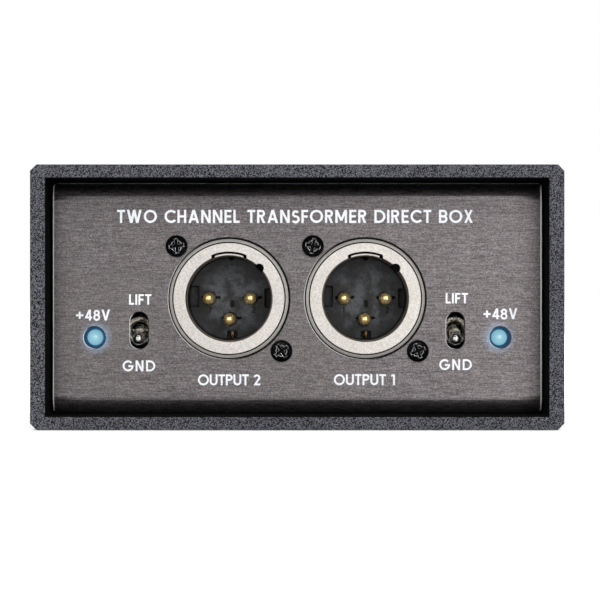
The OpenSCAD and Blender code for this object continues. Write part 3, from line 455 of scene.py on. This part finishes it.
def lamination_steel():
    """Stacked transformer sheets: thin lines along the stack, with blued and rusty patches."""
    g = Graph("lamination_steel")
    sheets = g.noise((0.05, 0.00035, 0.05), 1)
    patch = g.noise(0.004, 3, offset=4)
    steel = g.mix(g.remap(sheets, 0.4, 0.6, 0, 1), (0.10, 0.10, 0.105), (0.36, 0.36, 0.37))
    rusty = g.mix(g.remap(patch, 0.5, 0.75, 0, 0.5), steel, (0.13, 0.08, 0.05))
    g.feed(g.surface.inputs["Base Color"], rusty)
    g.surface.inputs["Metallic"].default_value = 0.9
    g.feed(g.surface.inputs["Roughness"], g.remap(patch, 0.3, 0.7, 0.35, 0.6))
    g.feed(g.surface.inputs["Normal"], g.bump(sheets, 0.00008))
    return g.material


MADE = {
    "powder_coat": powder_coat(),
    "anodised_panel": anodised(),
    "nickel": satin_nickel(),
    "bushing_metal": switch_bushing(),
    "lever_chrome": lever_chrome(),
    "insert_plastic": moulded_insert(),
    "lamp_blue": lamp_blue(),
    "gold_contact": contact_gold(),
    "black_screw": black_screw(),
    "board_green": board_green(),
    "lamination_steel": lamination_steel(),
}

PLAIN = {
    "zinc_steel": dict(dark=(0.42, 0.43, 0.45), light=(0.62, 0.63, 0.64), metallic=1.0, rough=(0.28, 0.42),
                       grain=0.0006, depth=0.000008),
    "switch_plastic": dict(dark=(0.012, 0.012, 0.013), light=(0.028, 0.028, 0.030), rough=(0.40, 0.55),
                           grain=0.0008, depth=0.00003),
    "contact_copper": dict(dark=(0.55, 0.30, 0.17), light=(0.75, 0.47, 0.28), metallic=1.0, rough=(0.25, 0.4),
                           grain=0.0008, depth=0.00001),
    "tinned_lead": dict(dark=(0.55, 0.55, 0.55), light=(0.74, 0.74, 0.73), metallic=1.0, rough=(0.28, 0.42),
                        grain=0.0006, depth=0.00001),
    "jack_plastic": dict(dark=(0.010, 0.010, 0.011), light=(0.024, 0.024, 0.026), rough=(0.38, 0.52),
                         grain=0.0008, depth=0.00003),
    "jack_nickel": dict(dark=(0.42, 0.41, 0.385), light=(0.56, 0.545, 0.515), metallic=1.0,
                        rough=(0.18, 0.30), grain=0.0005, depth=0.000008, cloud=0.003),
    "bobbin_plastic": dict(dark=(0.50, 0.47, 0.38), light=(0.66, 0.63, 0.53), rough=(0.4, 0.55),
                           grain=0.001, depth=0.00003),
    "winding_tape": dict(dark=(0.52, 0.36, 0.045), light=(0.68, 0.50, 0.09), rough=(0.28, 0.4),
                         grain=(0.0008, 0.006, 0.006), depth=0.00006, Coat_Weight=0.3),
    "cap_sleeve": dict(dark=(0.010, 0.012, 0.030), light=(0.022, 0.026, 0.055), rough=(0.25, 0.38),
                       grain=0.001, depth=0.00002, Coat_Weight=0.3),
    "film_red": dict(dark=(0.30, 0.022, 0.014), light=(0.44, 0.045, 0.028), rough=(0.3, 0.42),
                     grain=0.001, depth=0.00003),
    "resistor_blue": dict(dark=(0.10, 0.22, 0.32), light=(0.17, 0.32, 0.44), rough=(0.32, 0.45),
                          grain=0.0008, depth=0.00002),
    "transistor_black": dict(dark=(0.014, 0.014, 0.014), light=(0.032, 0.032, 0.031), rough=(0.45, 0.6),
                             grain=0.0006, depth=0.00003),
}
for number, (name, looks) in enumerate(PLAIN.items()):
    MADE[name] = finish(name, offset=3.0 * number, **looks)

CUT_EDGE = cut_edge()
WORN_BLACK = finish("worn_black", (0.10, 0.104, 0.11), (0.85, 0.86, 0.88), 1.0, (0.18, 0.28), 0.0005,
                    depth=0.00001, offset=92)
FIGURE_BLACK = finish("figure_black", (0.003, 0.003, 0.003), (0.008, 0.008, 0.008), 0.0, (0.5, 0.7), 0.0004,
                      offset=93, Specular_IOR_Level=0.2)
SCREEN_INK = finish("screen_ink", (0.74, 0.755, 0.79), (0.86, 0.88, 0.92), 0.0, (0.42, 0.55), 0.00035,
                    depth=0.00001, cloud=0.003, cloud_mix=0.05, offset=95)

# ------------------------------------------------------------------ materials and edges of the CAD nodes

EDGE_WIDTHS = {
    "outer_sleeve": 0.10, "inner_chassis": 0.15, "output_screws": 0.07, "sleeve_screws": 0.08,
    "jack_nuts": 0.22, "jack_washers": 0.12, "output_1_shell": 0.07, "output_2_shell": 0.07,
    "output_1_insert": 0.10, "output_2_insert": 0.10, "transformer_cores": 0.15,
    "transformer_bobbins": 0.15, "film_caps": 0.5, "circuit_board": 0.1,
    "lift_1_frame": 0.06, "lift_2_frame": 0.06, "pad_1_frame": 0.06, "pad_2_frame": 0.06,
    "lift_1_case": 0.15, "lift_2_case": 0.15, "pad_1_case": 0.15, "pad_2_case": 0.15,
    "input_1_body": 0.25, "thru_1_body": 0.25, "input_2_body": 0.25, "thru_2_body": 0.25,
}
SHARP_ANGLE = math.radians(32)
RECESS_ANGLE = math.radians(48)
FLAT_ANGLE = math.radians(0.2)
WELD_DISTANCE = 0.000002


def soften(piece, width, edge_finish=None, angle=SHARP_ANGLE):
    """Rounds edges sharper than angle by width, in a finish of their own if one is given."""
    weld = piece.modifiers.new("weld", "WELD")
    weld.merge_threshold = WELD_DISTANCE
    flat = piece.modifiers.new("flat", "DECIMATE")
    flat.decimate_type = "DISSOLVE"
    flat.angle_limit = FLAT_ANGLE
    bevel = piece.modifiers.new("bevel", "BEVEL")
    bevel.width = width
    bevel.segments = 2
    bevel.limit_method = "ANGLE"
    bevel.angle_limit = angle
    bevel.use_clamp_overlap = False
    bevel.miter_outer = "MITER_ARC"
    if edge_finish is not None:
        piece.data.materials.append(edge_finish)
        bevel.material = len(piece.material_slots) - 1
    normals = piece.modifiers.new("normals", "WEIGHTED_NORMAL")
    normals.keep_sharp = False
    normals.weight = 80


for sub in frame["record"]["subparts"]:
    piece = NODES[sub["node"]]
    for slot in piece.material_slots:
        slot.material = MADE[sub["material_slot"]]
    width = EDGE_WIDTHS.get(sub["node"], 0) * MM
    if sub["node"] == "inner_chassis":
        soften(piece, width, CUT_EDGE)
    elif sub["node"] == "output_screws":
        soften(piece, width, WORN_BLACK, RECESS_ANGLE)
    elif width:
        soften(piece, width)


# ------------------------------------------------------------------ printed and moulded lettering

WEIGHT = 0.172
HALF = WEIGHT / 2
SLANT_WEIGHT = WEIGHT * 1.08
ARC_STEPS = 20


def bar(x0, y0, x1, y1):
    return [(x0, y0), (x1, y0), (x1, y1), (x0, y1)]


def stem(x, y0=0.0, y1=1.0):
    return bar(x, y0, x + WEIGHT, y1)


def rung(x0, x1, y):
    return bar(x0, y - HALF, x1, y + HALF)


def slant(x0, x1, y0=0.0, y1=1.0):
    """A leaning stroke with level ends, from x0 at height y0 to x1 at height y1."""
    return [(x0, y0), (x0 + SLANT_WEIGHT, y0), (x1 + SLANT_WEIGHT, y1), (x1, y1)]


def arc(x, y, radius, start, end, squash=1.0):
    """Points along an arc, in degrees."""
    steps = max(4, round(ARC_STEPS * abs(end - start) / 180))
    turns = [math.radians(start + (end - start) * i / steps) for i in range(steps + 1)]
    return [(x + squash * radius * math.cos(t), y + radius * math.sin(t)) for t in turns]


def ribbon(points, closed=False):
    """Quads that follow a line of points with the stroke's weight and mitred joints."""
    count = len(points)
    sides = []
    for i in range(count):
        before = points[i - 1] if closed or i else None
        after = points[(i + 1) % count] if closed or i < count - 1 else None
        here = Vector(points[i])
        ways = [(here - Vector(before)).normalized()] if before else []
        ways += [(Vector(after) - here).normalized()] if after else []
        mean = sum(ways, Vector((0, 0))).normalized()
        across = Vector((-mean.y, mean.x))
        reach = HALF / max(0.5, across.dot(Vector((-ways[0].y, ways[0].x))))
        sides.append((here - across * reach, here + across * reach))
    quads = []
    for i in range(count if closed else count - 1):
        first, second = sides[i], sides[(i + 1) % count]
        quads.append([tuple(first[0]), tuple(second[0]), tuple(second[1]), tuple(first[1])])
    return quads


def loop(x, y, radius, squash=1.0):
    return ribbon(arc(x, y, radius, 0, 360, squash)[:-1], closed=True)


def bowl(x, low, high):
    """A stem's rounded bowl between two heights, straight as far as x."""
    radius = (high - low) / 2 - HALF
    return ribbon([(HALF, high - HALF)] + arc(x, (low + high) / 2, radius, 90, -90) + [(HALF, low + HALF)])


ROUND = 0.5 - HALF
UPPER = 0.190
LOWER = 0.5 - HALF - UPPER
GLYPHS = {
    " ": ([], 0.30),
    "A": ([slant(0, 0.31), slant(0.62, 0.31), rung(0.16, 0.68, 0.29)], 0.83),
    "B": ([stem(0), *bowl(0.34, 0.5 - HALF, 1), *bowl(0.36, 0, 0.5 + HALF)], 0.64),
    "C": (ribbon(arc(0.5, 0.5, ROUND, 42, 318)), 0.84),
    "D": ([stem(0), *bowl(0.34, 0, 1)], 0.83),
    "E": ([stem(0), rung(0.1, 0.54, HALF), rung(0.1, 0.50, 0.5), rung(0.1, 0.54, 1 - HALF)], 0.54),
    "F": ([stem(0), rung(0.1, 0.47, 0.49), rung(0.1, 0.51, 1 - HALF)], 0.51),
    "G": (ribbon(arc(0.5, 0.5, ROUND, 42, 353)) + [rung(0.52, 0.975, 0.47)], 0.97),
    "H": ([stem(0), stem(0.50), rung(0.1, 0.6, 0.5)], 0.70),
    "I": ([stem(0)], WEIGHT),
    "J": (ribbon(arc(0.25, 0.25, 0.25 - HALF, 195, 360) + [(0.50 - HALF, 1)]), 0.50),
    "L": ([stem(0), rung(0.1, 0.48, HALF)], 0.48),
    "M": ([stem(0), stem(0.72), slant(0.36, 0, 0.18, 1), slant(0.36, 0.70, 0.18, 1)], 0.92),
    "N": ([stem(0), stem(0.55), slant(0.53, 0, 0, 1)], 0.745),
    "O": (loop(0.5, 0.5, ROUND), 1.0),
    "P": ([stem(0), *bowl(0.33, 0.41, 1)], 0.62),
    "R": ([stem(0), *bowl(0.33, 0.44, 1), slant(0.43, 0.22, 0, 0.5)], 0.65),
    "S": (ribbon(arc(0.29, 0.5 + UPPER, UPPER, 28, 270) + arc(0.29, 0.5 - LOWER, LOWER, 84, -152)), 0.59),
    "T": ([stem(0.30 - HALF), rung(0, 0.60, 1 - HALF)], 0.60),
    "U": (ribbon([(HALF, 1)] + arc(0.36, 0.36, 0.36 - HALF, 180, 360) + [(0.72 - HALF, 1)]), 0.72),
    "V": ([slant(0.29, 0), slant(0.29, 0.58)], 0.79),
    "W": ([slant(0.24, 0), slant(0.24, 0.46), slant(0.70, 0.46), slant(0.70, 0.94)], 1.15),
    "X": ([slant(0, 0.47), slant(0.47, 0)], 0.68),
    "0": (ribbon(arc(0.31, 0.31, 0.31 - HALF, 180, 360) + arc(0.31, 0.69, 0.31 - HALF, 0, 180),
                 closed=True), 0.62),
    "1": ([stem(0.17), [(0, 0.76), (0.30, 0.87), (0.30, 1), (0.20, 1), (0, 0.90)]], 0.365),
    "2": (ribbon(arc(0.30, 0.70, 0.30 - HALF, 168, -28) + [(0.13, HALF), (0.60, HALF)]), 0.60),
    "3": (ribbon(arc(0.27, 0.5 + UPPER, UPPER, 150, -90) + arc(0.27, 0.5 - LOWER, LOWER, 84, -152)), 0.57),
    "4": ([stem(0.40), rung(0.04, 0.68, 0.27), slant(0, 0.38, 0.20, 1)], 0.68),
    "8": (loop(0.30, 0.5 + UPPER, UPPER, 1.02) + loop(0.30, 0.5 - LOWER, LOWER, 1.02), 0.62),
    "d": ([*loop(0.32, 0.32, 0.32 - HALF), stem(0.64 - WEIGHT)], 0.64),
    "+": ([rung(0, 0.66, 0.47), bar(0.33 - HALF, 0.14, 0.33 + HALF, 0.80)], 0.66),
}


def lettering(name, text, x, y, z, cap, width, finish_with, side=1, proud=0.00003):
    """A line of raised letters centred at (x, z) on a face at y; side -1 reads from behind."""
    gaps = max(1, len(text) - 1)
    track = (width / cap - sum(GLYPHS[letter][1] for letter in text)) / gaps
    points, faces, pen = [], [], 0.0
    for letter in text:
        strokes, advance = GLYPHS[letter]
        for stroke in strokes:
            faces.append(list(range(len(points), len(points) + len(stroke))))
            points += [Vector((pen + px, py)) for px, py in stroke]
        pen += advance + track
    centre = Vector(((pen - track) / 2, 0.5))
    faces = [face if turn(points, face) > 0 else face[::-1] for face in faces]
    flat, _, cells, _, _, sources = delaunay_2d_cdt(points, [], faces, 0, 0.0005, True)
    made = bmesh.new()
    sunk = 0.3 * proud
    rows = [[made.verts.new((side * (p.x - centre.x) * cap + x, y + side * rise, (p.y - centre.y) * cap + z))
             for p in flat] for rise in (-proud, sunk)]
    for cell, source in zip(cells, sources):
        if source:
            made.faces.new([rows[0][i] for i in cell])
            made.faces.new([rows[1][i] for i in reversed(cell)])
    wall(made, rows)
    lone = [v for v in made.verts if not v.link_faces]
    bmesh.ops.delete(made, geom=lone, context="VERTS")
    bmesh.ops.recalc_face_normals(made, faces=made.faces)
    return add_piece(name, made, finish_with)


def turn(points, face):
    """Twice the signed area of a flat face."""
    return sum(points[a].cross(points[b]) for a, b in zip(face, face[1:] + face[:1]))


def wall(made, rows):
    """Joins the rim of the front row's faces to the rim of the back row's faces."""
    partner = dict(zip(rows[0], rows[1]))
    rim = [e for e in made.edges
           if len(e.link_faces) == 1 and e.verts[0] in partner and e.verts[1] in partner]
    for edge in rim:
        first, second = edge.verts
        made.faces.new((first, second, partner[second], partner[first]))


def add_piece(name, made, material, body="enclosure"):
    """Turns a bmesh into an object that rides on a body."""
    mesh = bpy.data.meshes.new(name)
    made.to_mesh(mesh)
    made.free()
    mesh.materials.append(material)
    piece = bpy.data.objects.new(name, mesh)
    bpy.context.collection.objects.link(piece)
    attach(piece, body)
    return piece


# Each label: name, text, x, z, cap height and width, in millimetres
OUTPUT_LABELS = [
    ("label_title", "TWO CHANNEL TRANSFORMER DIRECT BOX", -0.40, 40.27, 2.5, 67.9),
    ("label_output_1", "OUTPUT 1", 12.85, 9.12, 2.1, 11.7),
    ("label_output_2", "OUTPUT 2", -13.0, 9.08, 2.1, 11.9),
]
for number, sign in ((1, 1), (2, -1)):
    OUTPUT_LABELS += [
        (f"label_lift_{number}", "LIFT", sign * 30.2 + 0.25, 24.54 + sign * 0.12, 1.98, 4.25),
        (f"label_ground_{number}", "GND", sign * 30.2, 11.87 + sign * 0.12, 2.08, 6.2),
        (f"label_phantom_{number}", "+48V", sign * 38.85 - 0.08, 21.58 + sign * 0.12, 2.08, 6.5),
    ]
INPUT_LABELS = [("label_inputs", "DIRECT INJECTION INPUTS", 0, 40.25, 2.5, 42.0)]
for number, sign in ((1, 1), (2, -1)):
    INPUT_LABELS += [
        (f"label_input_{number}", f"INPUT {number}", sign * 11.0, 9.1, 2.1, 9.2),
        (f"label_thru_{number}", f"THRU {number}", sign * 28.4, 9.1, 2.1, 8.4),
        (f"label_pad_{number}", "PAD", sign * 41.0, 27.2, 1.98, 4.8),
        (f"label_zero_{number}", "0dB", sign * 41.0, 14.2, 1.98, 4.6),
    ]

for name, text, x, z, cap, width in OUTPUT_LABELS:
    lettering(name, text, x * MM, PANEL_FRONT, z * MM, cap * MM, width * MM, SCREEN_INK)
for name, text, x, z, cap, width in INPUT_LABELS:
    lettering(name, text, x * MM, PANEL_BACK, z * MM, cap * MM, width * MM, SCREEN_INK, side=-1)

# Contact numbers moulded on each output's insert: text, offset from its axis, and height, in millimetres
CONTACT_NUMBERS = [("1", -4.0, -2.25, 1.2), ("2", 4.5, -2.2, 1.2), ("3", 0.4, -0.95, 1.5)]
for channel in (1, 2):
    shell = middle(f"output_{channel}_shell")
    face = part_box(f"output_{channel}_insert")[0].y
    for text, x, z, cap in CONTACT_NUMBERS:
        lettering(f"output_{channel}_number_{text}", text, shell.x + x * MM, face, shell.z + z * MM,
                  cap * MM, GLYPHS[text][1] * cap * MM, FIGURE_BLACK, proud=0.00012)


# ------------------------------------------------------------------ threads on the jacks' bushings

THREAD_PITCH = 0.00079
THREAD_ROOT = 0.00466
THREAD_CREST = 0.00492
THREAD_STEPS = 48
THREAD_START = 0.0034
THREAD_END = 0.0043
THREAD_FADE = 6


def thread(name, node, start, end):
    """A helical ridge round a bushing's axis, between two distances out from the panel."""
    axis = middle(node)
    turns = (end - start) / THREAD_PITCH
    count = round(turns * THREAD_STEPS)
    made = bmesh.new()
    rings = []
    for i in range(count + 1):
        angle = 2 * math.pi * i / THREAD_STEPS
        out = PANEL_BACK + start + (end - start) * i / count
        fade = min(1, THREAD_FADE * i / count, THREAD_FADE * (count - i) / count)
        crest = THREAD_ROOT + (THREAD_CREST - THREAD_ROOT) * max(0.05, fade)
        ring = []
        for radius, shift in ((THREAD_ROOT, -0.42), (crest, -0.06), (crest, 0.06), (THREAD_ROOT, 0.42)):
            ring.append(made.verts.new((axis.x + radius * math.cos(angle), out + shift * THREAD_PITCH,
                                        axis.z + radius * math.sin(angle))))
        rings.append(ring)
    for first, second in zip(rings, rings[1:]):
        for a, b in ((0, 1), (1, 2), (2, 3), (3, 0)):
            made.faces.new((first[a], first[b], second[b], second[a]))
    made.faces.new(rings[0])
    made.faces.new(rings[-1])
    bmesh.ops.recalc_face_normals(made, faces=made.faces)
    piece = add_piece(name, made, MADE["jack_nickel"])


for kind in ("input", "thru"):
    for channel in (1, 2):
        thread(f"{kind}_{channel}_thread", f"{kind}_{channel}_bushing", THREAD_START, THREAD_END)

# ------------------------------------------------------------------ studio

SKY = 1.0
SKY_IN_REFLECTIONS = 0.12
world = bpy.data.worlds.new("studio")
bpy.context.scene.world = world
world.use_nodes = True
world.cycles.sampling_method = "NONE"
sky = world.node_tree.nodes["Background"]
seen = world.node_tree.nodes.new("ShaderNodeLightPath")
shade = world.node_tree.nodes.new("ShaderNodeMapRange")
shade.inputs["To Min"].default_value = SKY
shade.inputs["To Max"].default_value = SKY_IN_REFLECTIONS
world.node_tree.links.new(seen.outputs["Is Glossy Ray"], shade.inputs["Value"])
world.node_tree.links.new(shade.outputs[0], sky.inputs["Strength"])
sky.inputs["Color"].default_value = (1, 1, 1, 1)

# Each softbox: name, azimuth and elevation in degrees, distance, width, height and power
SOFTBOXES = [
    ("key", 17, 14, 1.5, 0.75, 1.7, 8),
    ("glint", 18, 14, 1.4, 0.2, 0.2, 1.0),
    ("front_fill", -22, 10, 1.7, 1.3, 1.6, 8),
    ("overhead", 0, 80, 1.5, 1.2, 1.2, 5),
    ("right", 95, 25, 1.6, 0.9, 0.9, 4),
    ("back_key", 195, 14, 1.5, 0.8, 1.4, 11),
    ("back_fill", 160, 10, 1.5, 0.8, 1.4, 8),
]
for name, azimuth, elevation, distance, width, height, power in SOFTBOXES:
    light = bpy.data.lights.new(name, "AREA")
    light.shape = "RECTANGLE"
    light.size = width
    light.size_y = height
    light.energy = power
    holder = bpy.data.objects.new(name, light)
    bpy.context.collection.objects.link(holder)
    a, e = math.radians(azimuth), math.radians(elevation)
    way = Vector((math.sin(a) * math.cos(e), -math.cos(a) * math.cos(e), math.sin(e)))
    holder.location = SLEEVE_MIDDLE + way * distance
    holder.rotation_euler = (math.pi / 2 - e, 0, a)
    holder.visible_camera = False

FLOOR_HALF = 40
FLOOR_GAP = 0.0001
FLOOR_GLOW = 0.25
floor_mesh = bpy.data.meshes.new("floor")
floor_bm = bmesh.new()
bmesh.ops.create_grid(floor_bm, x_segments=8, y_segments=8, size=FLOOR_HALF)
floor_bm.to_mesh(floor_mesh)
floor_bm.free()
floor = bpy.data.objects.new("floor", floor_mesh)
bpy.context.collection.objects.link(floor)
floor.location.z = SLEEVE_LOW.z - FLOOR_GAP
pale_floor = finish("pale_floor", (0.86, 0.86, 0.86), (0.90, 0.90, 0.90), 0.0, (0.6, 0.7), 0.002,
                    cloud_mix=0.01, offset=50, Specular_IOR_Level=0.0)
floor_mesh.materials.append(pale_floor)
glow = pale_floor.node_tree.nodes["Principled BSDF"]
glow.inputs["Emission Color"].default_value = (1, 1, 1, 1)
glow.inputs["Emission Strength"].default_value = FLOOR_GLOW
floor.visible_glossy = False

bpy.context.scene.view_settings.view_transform = "Standard"
bpy.context.scene.view_settings.look = "None"
